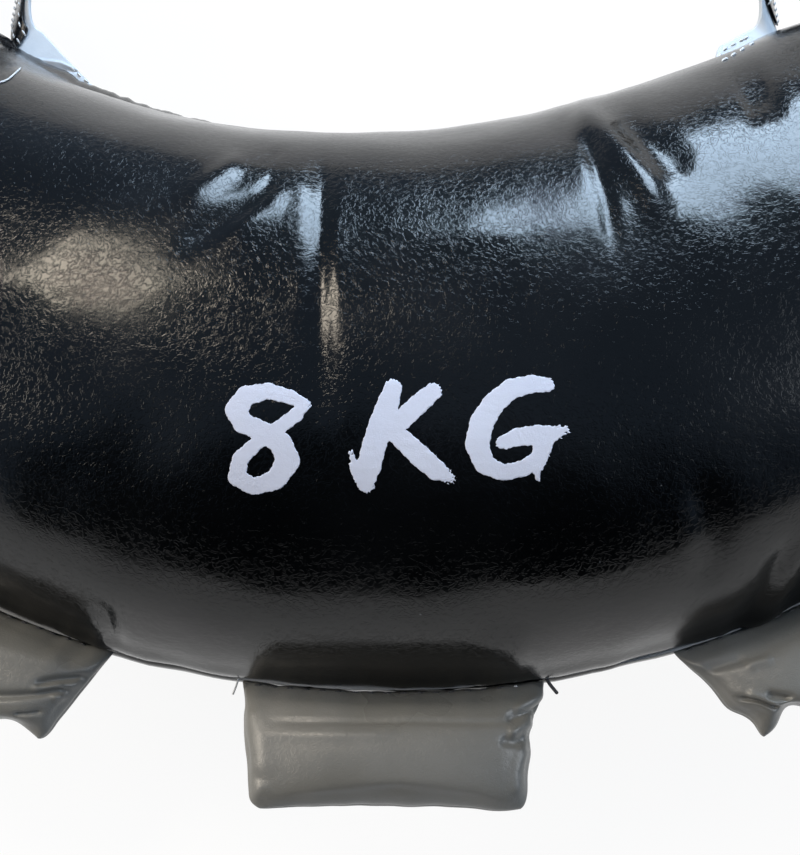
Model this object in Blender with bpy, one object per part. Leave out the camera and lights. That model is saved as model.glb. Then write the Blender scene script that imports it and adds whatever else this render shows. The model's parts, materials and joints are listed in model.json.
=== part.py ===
"""Training sandbag: a stuffed crescent weight bag with padded fins, hand straps and end grips.

The bag lies on its rear face. The crescent lies in the XY plane, its convex side looks
towards -Y and its horns point towards +Y. A place in the bag is given by the arc length s
along the crescent's centre line, negative on the left, and by a section across that line.
In a section, "across" points to the convex side and "rise" points up from the seam.
All sizes are in metres.
"""

import math

import bmesh
import bpy
from mathutils import Vector

# Crescent: the centre line is a wide arc in the middle and a tighter one in each horn
MID_BEND_RADIUS = 0.245
MID_BEND_ANGLE = math.radians(47)
HORN_BEND_RADIUS = 0.165
HORN_BEND_ANGLE = math.radians(69)
TAPER_POWER = 2.3

# Body section: half width along the seam plane, height above the seam, depth below it
MID_HALF_WIDTH = 0.088
MID_FRONT_HEIGHT = 0.083
MID_REAR_DEPTH = 0.066
NECK_RADIUS = 0.019
FLOOR_PRESS = 0.006
HORN_LIFT = 0.008
SECTION_FULLNESS = 0.87

# Leather, seams and running clearances
LEATHER_THICKNESS = 0.0016
SEAM_ALLOWANCE = 0.006
SEAM_GAP = 0.0003
SEWN_CLEARANCE = 0.0003

# Filling
LINER_THICKNESS = 0.0008
WADDING_THICKNESS = 0.010
LAYER_CLEARANCE = 0.0004
SACK_CLEARANCE = 0.0015
FILL_SETBACK = 0.030
SACK_COUNT = 5
SACK_SETBACK = 0.042
SACK_LENGTH_SHARES = (0.0, 0.03, 0.10, 0.24, 0.5, 0.76, 0.90, 0.97, 1.0)
SACK_GIRTH_SHARES = (0.20, 0.55, 0.86, 0.98, 1.0, 0.98, 0.86, 0.55, 0.20)

# Fins: padded grips sewn into the outer seam
FIN_SPACING = 0.098
FIN_ROOT_HALF_WIDTH = 0.047
FIN_TIP_HALF_WIDTH = 0.0415
FIN_LENGTH = 0.035
FIN_HALF_THICKNESS = 0.0135
FIN_COVER_THICKNESS = 0.0014
FIN_ROOT_CLEARANCE = 0.0006
FIN_CORE_CLEARANCE = 0.0004
FIN_CORE_SETBACK = 0.001
FIN_EDGE_POWER = 0.6
FIN_LENGTH_SHARES = (0.0, 0.06, 0.17, 0.33, 0.55, 0.74, 0.86, 0.93, 0.975, 1.0)
FIN_THICKNESS_SHARES = (0.22, 0.47, 0.76, 0.95, 1.0, 0.94, 0.81, 0.64, 0.44, 0.22)
FIN_WIDTH_SHARES = (1.0, 1.0, 1.0, 1.0, 1.0, 1.0, 0.99, 0.965, 0.92, 0.85)

# Flange: the raw edge of a fin's cover, caught between the two panels
FLANGE_HALF_WIDTH = 0.0435
FLANGE_THICKNESS = 0.001
FLANGE_REACH = 0.0025
FLANGE_TUCK = 0.005
LIP_FADE = 0.006

# Hand straps: a wide grey band with a narrower black one stitched on it
LEFT_STRAP_START = 0.155
RIGHT_STRAP_START = 0.180
STRAP_END = 0.352
STRAP_WIDTH = 0.036
STRAP_ROOT_WIDTH = 0.0125
STRAP_TIP_WIDTH = 0.004
STRAP_TIP_LENGTH = 0.012
STRAP_THICKNESS = 0.002
STRAP_FACE_THICKNESS = 0.0016
STRAP_FACE_SHARE = 0.61
STRAP_CLEARANCE = 0.0012
STRAP_BOW = 0.009
STRAP_NEAR_SEWN_SHARE = 0.20
STRAP_FAR_SEWN_SHARE = 0.10
STRAP_LEAVING_SHARE = 0.26

# End grips: a sleeve on a core, tied at the neck and closed by a domed cap
NECK_LENGTH = 0.014
TIE_WIDTH = 0.012
TIE_THICKNESS = 0.003
TIE_EDGE_SHARES = (0.0, 0.14, 0.86, 1.0)
TIE_BULGE_SHARES = (0.5, 1.0, 1.0, 0.5)
GRIP_LENGTH = 0.110
GRIP_RADIUS = 0.0215
GRIP_BARREL = 0.001
GRIP_WALL = 0.0018
GRIP_LENGTH_SHARES = (0.0, 0.04, 0.5, 0.96, 1.0)
GRIP_BARREL_SHARES = (-0.6, 0.2, 1.0, 0.2, -0.6)
CAP_HEIGHT = 0.010
CAP_RINGS = 5
CAP_SWEEP = math.radians(78)

# Facets
BODY_STATIONS = 29
STATION_MERGE = 0.009
PANEL_FACETS = 12
FIN_FACETS = 24
GRIP_FACETS = 24
STRAP_STATIONS = 25
STRAP_NEAR_BARE = 9
STRAP_FAR_BARE = 7
FLANGE_STATIONS = 9
SHARP_ANGLE = math.radians(50)

# Derived lengths
MID_ARC = MID_BEND_RADIUS * MID_BEND_ANGLE
CENTRE_LENGTH = MID_ARC + HORN_BEND_RADIUS * HORN_BEND_ANGLE
PANEL_END = CENTRE_LENGTH + NECK_LENGTH
FILL_END = CENTRE_LENGTH - FILL_SETBACK
GRIP_START = CENTRE_LENGTH + TIE_WIDTH + SEWN_CLEARANCE
GRIP_END = GRIP_START + GRIP_LENGTH
GRIP_BORE = GRIP_RADIUS - GRIP_WALL
CORE_NECK_RADIUS = NECK_RADIUS - SEAM_ALLOWANCE - SEWN_CLEARANCE
SIDES = (("left", -1), ("right", 1))
FIN_PLACES = (("left", -FIN_SPACING), ("centre", 0.0), ("right", FIN_SPACING))


def signed_power(value, power):
    """The value's size raised to a power, with its sign kept."""
    return math.copysign(abs(value) ** power, value)


def taper(s):
    """1 in the middle of the crescent and 0 from the necks outwards."""
    return 1 - min(abs(s) / CENTRE_LENGTH, 1) ** TAPER_POWER


def half_width(s):
    return NECK_RADIUS + (MID_HALF_WIDTH - NECK_RADIUS) * taper(s)


def taper_slope(s):
    """How fast the taper changes along the centre line."""
    share = min(abs(s) / CENTRE_LENGTH, 1)
    return -math.copysign(TAPER_POWER * share ** (TAPER_POWER - 1) / CENTRE_LENGTH, s)


def width_slope(s):
    return taper_slope(s) * (MID_HALF_WIDTH - NECK_RADIUS)


def front_height(s):
    return NECK_RADIUS + (MID_FRONT_HEIGHT - NECK_RADIUS) * taper(s)


def rear_depth(s):
    return NECK_RADIUS + (MID_REAR_DEPTH - NECK_RADIUS) * taper(s)


def seam_height(s):
    """Height of the seam over the floor: the horns are held a little above it."""
    return rear_depth(s) + HORN_LIFT * (1 - taper(s)) ** 2


def seam_slope(s):
    """How fast the seam rises along the centre line."""
    return taper_slope(s) * (MID_REAR_DEPTH - NECK_RADIUS - 2 * HORN_LIFT * (1 - taper(s)))


def bend_radius(s):
    return MID_BEND_RADIUS if abs(s) <= MID_ARC else HORN_BEND_RADIUS


def centre_line(s):
    """Point, direction and outward normal of the centre line in the seam plane."""
    reach = abs(s)
    horn_x = (MID_BEND_RADIUS - HORN_BEND_RADIUS) * math.sin(MID_BEND_ANGLE)
    horn_y = MID_BEND_RADIUS - (MID_BEND_RADIUS - HORN_BEND_RADIUS) * math.cos(MID_BEND_ANGLE)
    if reach <= MID_ARC:
        turn = reach / MID_BEND_RADIUS
        x = MID_BEND_RADIUS * math.sin(turn)
        y = MID_BEND_RADIUS * (1 - math.cos(turn))
    else:
        turn = MID_BEND_ANGLE + min(reach - MID_ARC, CENTRE_LENGTH - MID_ARC) / HORN_BEND_RADIUS
        past_neck = max(reach - CENTRE_LENGTH, 0)
        x = horn_x + HORN_BEND_RADIUS * math.sin(turn) + past_neck * math.cos(turn)
        y = horn_y - HORN_BEND_RADIUS * math.cos(turn) + past_neck * math.sin(turn)
    side = math.copysign(1, s)
    point = Vector((side * x, y, 0))
    along = Vector((math.cos(turn), side * math.sin(turn), 0))
    outward = Vector((side * math.sin(turn), -math.cos(turn), 0))
    return point, along, outward


def back_reach():
    """How far the rounded caps of the grips reach towards +Y."""
    reach = GRIP_END + SEWN_CLEARANCE
    ends = []
    for height, radius in cap_profile():
        point, _, outward = centre_line(reach + height)
        ends.append(point.y + radius * abs(outward.y))
    return max(ends)


def cap_profile():
    """Height and radius of each ring of a cap's dome."""
    steps = [CAP_SWEEP * k / (CAP_RINGS - 1) for k in range(CAP_RINGS)]
    return [(CAP_HEIGHT * math.sin(a), GRIP_RADIUS * math.cos(a)) for a in steps]


def frame_shift():
    """Moves the crescent so that the middle of its outline stands at the origin."""
    front_reach = MID_HALF_WIDTH + FLANGE_REACH + FIN_LENGTH
    return Vector((0, (front_reach - back_reach()) / 2, 0))


SHIFT = frame_shift()


def section_point(s, across, rise):
    """World place of a point in the section at s."""
    point, _, outward = centre_line(s)
    return SHIFT + point + outward * across + Vector((0, 0, seam_height(s) + rise))


def half_depth(s, angle):
    """The section's reach from the seam: up in the front half, down in the rear half."""
    return front_height(s) if math.sin(angle) >= 0 else rear_depth(s) + FLOOR_PRESS * taper(s)


def skin_point(s, angle, inset):
    """Outer skin at a section angle, moved inwards by inset and pressed flat on the floor."""
    wide, deep = half_width(s), half_depth(s, angle)
    cos, sin = math.cos(angle), math.sin(angle)
    normal = Vector((deep * signed_power(cos, 2 - SECTION_FULLNESS), wide * SECTION_FULLNESS * sin))
    normal.normalize()
    across = wide * signed_power(cos, SECTION_FULLNESS) - inset * normal.x
    rise = deep * sin - inset * normal.y
    return section_point(s, across, max(rise, inset - seam_height(s)))


def layer_ring(s, side_inset, face_inset, share=1.0):
    """Ring inside the skin, at every other one of its angles, reduced by the insets."""
    ring = []
    middle = (front_height(s) - rear_depth(s)) / 2
    for k in range(PANEL_FACETS):
        angle = math.tau * (k + 0.5) / PANEL_FACETS
        wide = half_width(s) - side_inset
        deep = half_depth(s, angle) - face_inset
        across = wide * signed_power(math.cos(angle), SECTION_FULLNESS)
        rise = max(deep * math.sin(angle), face_inset - seam_height(s))
        ring.append(section_point(s, across * share, middle + (rise - middle) * share))
    return ring


def material(name, colour, roughness, metallic=0.0):
    """Principled material with a plain colour."""
    made = bpy.data.materials.new(name)
    made.use_nodes = True
    shader = made.node_tree.nodes["Principled BSDF"]
    shader.inputs["Base Color"].default_value = (*colour, 1)
    shader.inputs["Roughness"].default_value = roughness
    shader.inputs["Metallic"].default_value = metallic
    return made


def add_rings(bm, rings):
    return [[bm.verts.new(point) for point in ring] for ring in rings]


def join_rings(bm, rings, wrap, split=False):
    """Quads between each ring of vertices and the next, or two triangles for each."""
    count = len(rings[0])
    for near, far in zip(rings, rings[1:]):
        for k in range(count if wrap else count - 1):
            following = (k + 1) % count
            if split:
                bm.faces.new((near[k], near[following], far[following]))
                bm.faces.new((near[k], far[following], far[k]))
            else:
                bm.faces.new((near[k], near[following], far[following], far[k]))


def finish(bm, name, surface, origin=None):
    """Turns the mesh into an object whose origin stands at the given place."""
    origin = origin or Vector()
    bmesh.ops.recalc_face_normals(bm, faces=bm.faces)
    bmesh.ops.translate(bm, verts=bm.verts, vec=-origin)
    mesh = bpy.data.meshes.new(name)
    bm.to_mesh(mesh)
    bm.free()
    mesh.shade_smooth()
    mesh.set_sharp_from_angle(angle=SHARP_ANGLE)
    mesh.materials.append(surface)
    made = bpy.data.objects.new(name, mesh)
    made.location = origin
    bpy.context.collection.objects.link(made)
    return made


def shell(name, outer, inner, surface, wrap=True, tip_closed=False, origin=None):
    """A wall between two sets of rings, open at its near end, or at both."""
    bm = bmesh.new()
    outer_rings, inner_rings = add_rings(bm, outer), add_rings(bm, inner)
    join_rings(bm, outer_rings, wrap)
    join_rings(bm, inner_rings, wrap)
    join_rings(bm, [outer_rings[0], inner_rings[0]], wrap)
    if tip_closed:
        bm.faces.new(outer_rings[-1])
        bm.faces.new(inner_rings[-1])
    else:
        join_rings(bm, [outer_rings[-1], inner_rings[-1]], wrap)
    if not wrap:
        for edge in (0, -1):
            rims = [[ring[edge] for ring in rings] for rings in (outer_rings, inner_rings)]
            join_rings(bm, rims, False)
    return finish(bm, name, surface, origin)


def solid(name, rings, surface, origin=None, split=False):
    """A filled body through closed rings."""
    bm = bmesh.new()
    made = add_rings(bm, rings)
    join_rings(bm, made, True, split)
    bm.faces.new(made[0])
    bm.faces.new(made[-1])
    return finish(bm, name, surface, origin)


def flange_half_arc(place):
    """Half of a fin's flange, measured along the centre line."""
    return FLANGE_HALF_WIDTH / (1 + half_width(place) / bend_radius(place))


def lip_gap(s, across_side):
    """Half of the slot between the panels' lips: wider where a flange is caught."""
    plain = SEAM_GAP / 2
    if across_side < 0:
        return plain
    opened = FLANGE_THICKNESS / 2 + SEWN_CLEARANCE
    past = min(abs(s - place) - flange_half_arc(place) for _, place in FIN_PLACES) - SEWN_CLEARANCE
    fade = min(max(past / LIP_FADE, 0), 1)
    return opened + (plain - opened) * fade


def body_stations():
    """Places of the body's rings, with one at each end of every slot for a flange."""
    edges = []
    for _, place in FIN_PLACES:
        full = flange_half_arc(place) + SEWN_CLEARANCE
        edges += [place + side * reach for side in (-1, 1) for reach in (full, full + LIP_FADE)]
    even = [CENTRE_LENGTH * (2 * k / (BODY_STATIONS - 1) - 1) for k in range(BODY_STATIONS)]
    apart = [s for s in even if min(abs(s - edge) for edge in edges) > STATION_MERGE]
    return sorted(edges + apart + [-PANEL_END, PANEL_END])


def panel_profile(s, facing, inset):
    """One panel's section from lip to lip: facing is 1 in front and -1 in the rear."""
    points = []
    for side in (1, -1):
        rise = facing * (lip_gap(s, side) + inset)
        lip_end = section_point(s, side * (half_width(s) - SEAM_ALLOWANCE), rise)
        fold = section_point(s, side * (half_width(s) - inset), rise)
        points.append([lip_end, fold] if side > 0 else [fold, lip_end])
    angles = [facing * math.pi * k / PANEL_FACETS for k in range(1, PANEL_FACETS)]
    return points[0] + [skin_point(s, angle, inset) for angle in angles] + points[1]


def make_panel(name, facing, surface):
    """Leather panel: half of the skin, with its seam allowances turned in."""
    stations = body_stations()
    outer = [panel_profile(s, facing, 0) for s in stations]
    inner = [panel_profile(s, facing, LEATHER_THICKNESS) for s in stations]
    return shell(name, outer, inner, surface, wrap=False)


def make_layer(name, side_inset, face_inset, thickness, surface):
    """Open-ended tube inside the skin, such as the liner or the wadding."""
    inner_stations = [s for s in body_stations() if abs(s) < FILL_END]
    stations = [-FILL_END] + inner_stations + [FILL_END]
    outer = [layer_ring(s, side_inset, face_inset) for s in stations]
    inner = [layer_ring(s, side_inset + thickness, face_inset + thickness) for s in stations]
    return shell(name, outer, inner, surface)


def make_sand_sacks(side_inset, face_inset, surface):
    """Row of tied sand sacks that bends with the crescent."""
    reach = CENTRE_LENGTH - SACK_SETBACK
    pitch = 2 * reach / SACK_COUNT
    for index in range(SACK_COUNT):
        start = -reach + pitch * index + SEWN_CLEARANCE / 2
        length = pitch - SEWN_CLEARANCE
        rings = []
        for along, girth in zip(SACK_LENGTH_SHARES, SACK_GIRTH_SHARES):
            rings.append(layer_ring(start + length * along, side_inset, face_inset, girth))
        solid(f"sand_sack_{index + 1}", rings, surface)


def fin_frame(place):
    """Middle of a fin's hinge line, with the directions along it and away from the bag."""
    _, along, outward = centre_line(place)
    widening = 1 + half_width(place) / bend_radius(place)
    line = along * widening + outward * width_slope(place) + Vector((0, 0, seam_slope(place)))
    line.normalize()
    away = Vector((line.y, -line.x, 0)).normalized()
    return section_point(place, half_width(place), 0) + away * FLANGE_REACH, line, away


def fin_rings(line, away, side_inset, face_inset, root, tip):
    """Rings of a fin's cushion from its root to its tip, around the hinge line."""
    rings = []
    shares = zip(FIN_LENGTH_SHARES, FIN_THICKNESS_SHARES, FIN_WIDTH_SHARES)
    for reach, thick, wide in shares:
        tapering = FIN_ROOT_HALF_WIDTH + (FIN_TIP_HALF_WIDTH - FIN_ROOT_HALF_WIDTH) * reach
        half = tapering * wide - side_inset
        deep = FIN_HALF_THICKNESS * thick - face_inset
        ring = []
        for k in range(FIN_FACETS):
            angle = math.tau * k / FIN_FACETS
            sideways = half * signed_power(math.cos(angle), FIN_EDGE_POWER)
            forward = root + (tip - root) * reach
            height = away.cross(line) * (deep * math.sin(angle))
            ring.append(line * sideways + away * forward + height)
        rings.append(ring)
    return rings


def make_fin(side, place, leather, foam):
    """Moving cushion of a fin: a leather cover round a foam core."""
    hinge, line, away = fin_frame(place)
    root, tip, wall = FIN_ROOT_CLEARANCE, FIN_LENGTH, FIN_COVER_THICKNESS
    outer = fin_rings(line, away, 0, 0, root, tip)
    inner = fin_rings(line, away, wall, wall, root, tip - wall)
    cover = shell(f"fin_cover_{side}", outer, inner, leather, tip_closed=True)
    loose = wall + FIN_CORE_CLEARANCE
    core_root = root + FIN_CORE_SETBACK
    filling = fin_rings(line, away, loose, loose, core_root, tip - loose)
    core = solid(f"fin_core_{side}", filling, foam)
    cover.location = core.location = hinge


def make_flange(side, place, surface):
    """Raw edge of a fin's cover, from between the panels' lips to the hinge line."""
    hinge, _, away = fin_frame(place)
    reach = flange_half_arc(place)
    rings = []
    for k in range(FLANGE_STATIONS):
        s = place + reach * (2 * k / (FLANGE_STATIONS - 1) - 1)
        _, _, outward = centre_line(s)
        start = section_point(s, 0, 0)
        limit = (hinge - start).dot(away) / outward.dot(away)
        tucked = half_width(s) - FLANGE_TUCK
        half = FLANGE_THICKNESS / 2
        corners = ((tucked, -half), (tucked, half), (limit, half), (limit, -half))
        rings.append([section_point(s, across, rise) for across, rise in corners])
    solid(f"fin_flange_{side}", rings, surface)


def inner_edge(s):
    """Point of the inner seam, with the direction from it into the crescent's opening."""
    _, along, outward = centre_line(s)
    line = along * (1 - half_width(s) / bend_radius(s)) - outward * width_slope(s)
    line.normalize()
    inward = Vector((-line.y, line.x, 0))
    return section_point(s, -half_width(s), 0), inward


def strap_reach(side):
    """Length of seam from a strap's near end to its far end, with the near end's place."""
    near = LEFT_STRAP_START if side < 0 else RIGHT_STRAP_START
    return STRAP_END - near, near


def strap_freedom(share):
    """0 where a strap lies along the seam, and 1 where it spans the horn's hollow."""
    free = min(share - STRAP_NEAR_SEWN_SHARE, 1 - share - STRAP_FAR_SEWN_SHARE)
    free = min(max(free / STRAP_LEAVING_SHARE, 0), 1)
    return free * free * (3 - 2 * free)


def strap_width(side, share):
    """Width of a strap outside the seam: rounded at its ends and full in the middle."""
    length, _ = strap_reach(side)
    rounding = 1 - min(min(share, 1 - share) * length / STRAP_TIP_LENGTH, 1)
    full = STRAP_ROOT_WIDTH + (STRAP_WIDTH - STRAP_ROOT_WIDTH) * strap_freedom(share)
    return max(full * math.sqrt(1 - rounding * rounding), STRAP_TIP_WIDTH)


def strap_path(side, share):
    """Point under a strap's outer-side edge, with the direction into the opening."""
    length, near = strap_reach(side)
    edge, inward = inner_edge(side * (near + length * share))
    start, finish_point = inner_edge(side * near)[0], inner_edge(side * STRAP_END)[0]
    chord = (finish_point - start) * side
    spanning = Vector((-chord.y, chord.x, 0)).normalized()
    free = strap_freedom(share)
    middle = start.lerp(finish_point, share) + spanning * STRAP_BOW
    return edge.lerp(middle, free), inward.lerp(spanning, free).normalized()


def strap_ring(side, share, low, high, is_face):
    """Section of a strap's band or of the narrower face on it, between two heights."""
    edge, inward = strap_path(side, share)
    wide = strap_width(side, share)
    roll = math.acos(min(STRAP_ROOT_WIDTH / wide, 1))
    across = inward * math.cos(roll) + Vector((0, 0, math.sin(roll)))
    through = Vector((0, 0, math.cos(roll))) - inward * math.sin(roll)
    clear = STRAP_CLEARANCE + wide / 2 * math.cos(roll) + STRAP_THICKNESS * math.sin(roll)
    middle = edge + inward * clear
    half, face_half = wide / 2, wide / 2 * STRAP_FACE_SHARE
    if is_face:
        corners = ((face_half, low), (-face_half, low), (-face_half, high), (face_half, high))
    else:
        upper = ((half, high), (face_half, high), (-face_half, high), (-half, high))
        corners = upper + ((-half, low), (half, low))
    return [middle + across * a + through * b for a, b in corners]


def strap_axis(side):
    """The two sewn ends of a strap, which it swings about."""
    ends = []
    for share in (0, 1):
        edge, inward = strap_path(side, share)
        ends.append(edge + inward * STRAP_CLEARANCE)
    return ends


def make_strap(name, side, grey, black):
    """Hand strap along the inner seam: a grey band and the black band stitched on it."""
    near, far = strap_axis(side)
    origin = (near + far) / 2
    turns = [math.pi * k / (STRAP_STATIONS - 1) for k in range(STRAP_STATIONS)]
    shares = [(1 - math.cos(turn)) / 2 for turn in turns]
    top = STRAP_THICKNESS / 2
    base = [strap_ring(side, share, -top, top, False) for share in shares]
    solid(f"strap_base_{name}", base, grey, origin, split=True)
    low = top + SEWN_CLEARANCE
    high = low + STRAP_FACE_THICKNESS
    covered = shares[STRAP_NEAR_BARE:-STRAP_FAR_BARE]
    face = [strap_ring(side, share, low, high, True) for share in covered]
    solid(f"strap_face_{name}", face, black, origin, split=True)


def grip_ring(side, reach, radius):
    """Circle about a grip's axis, at a distance along the centre line."""
    angles = [math.tau * k / GRIP_FACETS for k in range(GRIP_FACETS)]
    s = side * reach
    return [section_point(s, radius * math.cos(a), radius * math.sin(a)) for a in angles]


def make_neck_tie(name, side, surface):
    """Leather binding drawn round the neck of a horn."""
    angles = [math.tau * k / GRIP_FACETS for k in range(GRIP_FACETS)]
    outer, inner = [], []
    for along, bulge in zip(TIE_EDGE_SHARES, TIE_BULGE_SHARES):
        s = side * (CENTRE_LENGTH + TIE_WIDTH * along)
        proud = SEWN_CLEARANCE + TIE_THICKNESS * bulge
        outer.append([skin_point(s, a, -proud) for a in angles])
        inner.append([skin_point(s, a, -SEWN_CLEARANCE) for a in angles])
    shell(f"neck_tie_{name}", outer, inner, surface)


def make_grip(name, side, grey, black, foam):
    """End grip: a core that reaches into the horn, its sleeve and its domed cap."""
    outer, inner = [], []
    for along, barrel in zip(GRIP_LENGTH_SHARES, GRIP_BARREL_SHARES):
        reach = GRIP_START + GRIP_LENGTH * along
        outer.append(grip_ring(side, reach, GRIP_RADIUS + GRIP_BARREL * barrel))
        inner.append(grip_ring(side, reach, GRIP_BORE))
    shell(f"grip_sleeve_{name}", outer, inner, grey)
    start, shoulder = FILL_END + SEWN_CLEARANCE, PANEL_END + SEWN_CLEARANCE
    core_radius = GRIP_BORE - SEWN_CLEARANCE
    profile = [(start, CORE_NECK_RADIUS)]
    profile += [(s, CORE_NECK_RADIUS) for s in body_stations() if start < s < shoulder]
    profile += [
        (shoulder, CORE_NECK_RADIUS),
        (shoulder + core_radius - CORE_NECK_RADIUS, core_radius),
        (GRIP_END, core_radius),
    ]
    solid(f"grip_core_{name}", [grip_ring(side, s, r) for s, r in profile], foam)
    base = GRIP_END + SEWN_CLEARANCE
    dome = [grip_ring(side, base + height, radius) for height, radius in cap_profile()]
    solid(f"grip_cap_{name}", dome, black)


def clear_scene():
    for old in list(bpy.data.objects):
        bpy.data.objects.remove(old, do_unlink=True)


def build():
    clear_scene()
    black = material("black_leather", (0.012, 0.012, 0.014), 0.32)
    grey = material("grey_leather", (0.165, 0.162, 0.150), 0.42)
    strap_grey = material("strap_grey_leather", (0.42, 0.47, 0.53), 0.45)
    foam = material("foam", (0.72, 0.66, 0.42), 0.95)
    cloth = material("liner_cloth", (0.55, 0.53, 0.48), 0.90)
    wool = material("wadding", (0.70, 0.68, 0.62), 1.0)
    canvas = material("sack_canvas", (0.34, 0.28, 0.19), 0.92)
    make_panel("front_panel", 1, black)
    make_panel("rear_panel", -1, black)
    side_inset = SEAM_ALLOWANCE + LAYER_CLEARANCE
    face_inset = LEATHER_THICKNESS + LAYER_CLEARANCE
    make_layer("liner", side_inset, face_inset, LINER_THICKNESS, cloth)
    next_layer = LINER_THICKNESS + LAYER_CLEARANCE
    side_inset, face_inset = side_inset + next_layer, face_inset + next_layer
    make_layer("wadding", side_inset, face_inset, WADDING_THICKNESS, wool)
    sack_inset = WADDING_THICKNESS + SACK_CLEARANCE
    make_sand_sacks(side_inset + sack_inset, face_inset + sack_inset, canvas)
    for side, place in FIN_PLACES:
        make_flange(side, place, grey)
        make_fin(side, place, grey, foam)
    for name, side in SIDES:
        make_strap(name, side, strap_grey, black)
        make_neck_tie(name, side, black)
        make_grip(name, side, grey, black, foam)


build()
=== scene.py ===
import json
from math import acos, atan2, copysign, cos, exp, hypot, pi, radians, sin, sqrt, tau

import bmesh
import bpy
import numpy as np
from mathutils import Matrix, Vector, noise

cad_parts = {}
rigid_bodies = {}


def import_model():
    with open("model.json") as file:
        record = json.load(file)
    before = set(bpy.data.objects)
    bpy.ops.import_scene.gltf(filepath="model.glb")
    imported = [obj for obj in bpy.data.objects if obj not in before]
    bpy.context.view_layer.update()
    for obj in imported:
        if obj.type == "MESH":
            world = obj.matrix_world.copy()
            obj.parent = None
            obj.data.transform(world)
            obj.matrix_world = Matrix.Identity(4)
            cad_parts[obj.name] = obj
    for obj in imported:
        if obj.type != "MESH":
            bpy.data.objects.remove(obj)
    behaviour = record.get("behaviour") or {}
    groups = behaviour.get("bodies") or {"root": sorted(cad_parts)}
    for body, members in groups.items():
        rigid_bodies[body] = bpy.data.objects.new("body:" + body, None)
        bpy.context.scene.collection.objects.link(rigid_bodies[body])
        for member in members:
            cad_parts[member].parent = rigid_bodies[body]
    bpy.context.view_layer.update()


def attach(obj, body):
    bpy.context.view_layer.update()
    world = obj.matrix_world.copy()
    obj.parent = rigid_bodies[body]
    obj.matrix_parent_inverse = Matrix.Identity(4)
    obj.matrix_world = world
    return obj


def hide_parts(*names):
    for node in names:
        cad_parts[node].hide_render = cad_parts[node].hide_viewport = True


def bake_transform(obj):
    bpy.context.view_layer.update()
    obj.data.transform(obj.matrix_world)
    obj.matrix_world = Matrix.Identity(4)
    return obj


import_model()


# View. The bag lies on its rear face, and the eye is in front of its convex side and well
# above it, so near that the tips of both horns fall outside the picture.
PICTURE_WIDTH, PICTURE_HEIGHT = 800, 855
LENS, FILM = 86.3, 36.0
VIEW_TILT = radians(72)
VIEW_DISTANCE = 0.650
VIEW_AIM = Vector((0.002, -0.1347, 0.066))
PICTURE_FOCUS, PICTURE_PITCH = LENS / FILM * PICTURE_HEIGHT, 0.00032

toward_eye = Vector((0, -cos(VIEW_TILT), sin(VIEW_TILT)))
view_up = Vector((0, sin(VIEW_TILT), cos(VIEW_TILT)))
bpy.ops.object.camera_add(location=VIEW_AIM + toward_eye * VIEW_DISTANCE)
camera = bpy.context.object
camera.name = "camera"
camera.rotation_mode = "QUATERNION"
camera.rotation_quaternion = toward_eye.to_track_quat("Z", "Y")
camera.data.lens = LENS
camera.data.sensor_width = FILM
camera.data.clip_start = 0.01
bpy.context.scene.camera = camera


def picture_place(point):
    """Column and row in the picture of a point on the bag."""
    offset = point - VIEW_AIM
    zoom = PICTURE_FOCUS / (VIEW_DISTANCE - offset.dot(toward_eye))
    column = PICTURE_WIDTH / 2 + zoom * offset.x
    return column, PICTURE_HEIGHT / 2 - zoom * offset.dot(view_up)


# Bag. Two crescent panels of thin black leather are sewn face to face, turned out and packed
# tight with wadding and sand sacks. The stuffing domes the front and presses the rear flat on
# the floor, and the leather shows a fine crackled grain with a few deep creases.
MID_RADIUS, MID_TURN = 0.245, radians(47)
HORN_RADIUS, HORN_TURN = 0.165, radians(69)
BAG_TAPER = 2.3
BAG_HALF_WIDTH, BAG_HEIGHT, BAG_DEPTH, NECK = 0.088, 0.083, 0.066, 0.019
FLOOR_PRESS, HORN_LIFT, FULLNESS = 0.006, 0.008, 0.87
BAG_SHIFT = Vector((0, -0.130222, 0))
NECK_LENGTH = 0.014
MID_ARC = MID_RADIUS * MID_TURN
HORN_END = MID_ARC + HORN_RADIUS * HORN_TURN
BAG_END = HORN_END + NECK_LENGTH
HORN_X = (MID_RADIUS - HORN_RADIUS) * sin(MID_TURN)
HORN_Y = MID_RADIUS - (MID_RADIUS - HORN_RADIUS) * cos(MID_TURN)


def smooth(value):
    """0 below 0, 1 above 1 and an even rise between."""
    value = min(max(value, 0), 1)
    return value * value * (3 - 2 * value)


def signed_power(value, power):
    """Power of a value's size with the value's own sign, which squares or rounds a section."""
    return copysign(abs(value) ** power, value)


def circle(count, start=0.0):
    """Even angles once round, begun a share of a step on."""
    return [tau * (k + start) / count for k in range(count)]


def ripple(*place):
    """Smooth noise at a place, from -1 to 1."""
    return noise.noise(Vector(place))


def centre_line(s):
    """Point, direction and outward side of the crescent's centre line at a length along it."""
    reach, side = abs(s), copysign(1, s)
    if reach <= MID_ARC:
        turn = reach / MID_RADIUS
        x, y = MID_RADIUS * sin(turn), MID_RADIUS * (1 - cos(turn))
    else:
        turn = MID_TURN + min(reach - MID_ARC, HORN_END - MID_ARC) / HORN_RADIUS
        past = max(reach - HORN_END, 0)
        x = HORN_X + HORN_RADIUS * sin(turn) + past * cos(turn)
        y = HORN_Y - HORN_RADIUS * cos(turn) + past * sin(turn)
    along = Vector((cos(turn), side * sin(turn), 0))
    outward = Vector((side * sin(turn), -cos(turn), 0))
    return BAG_SHIFT + Vector((side * x, y, 0)), along, outward


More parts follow.
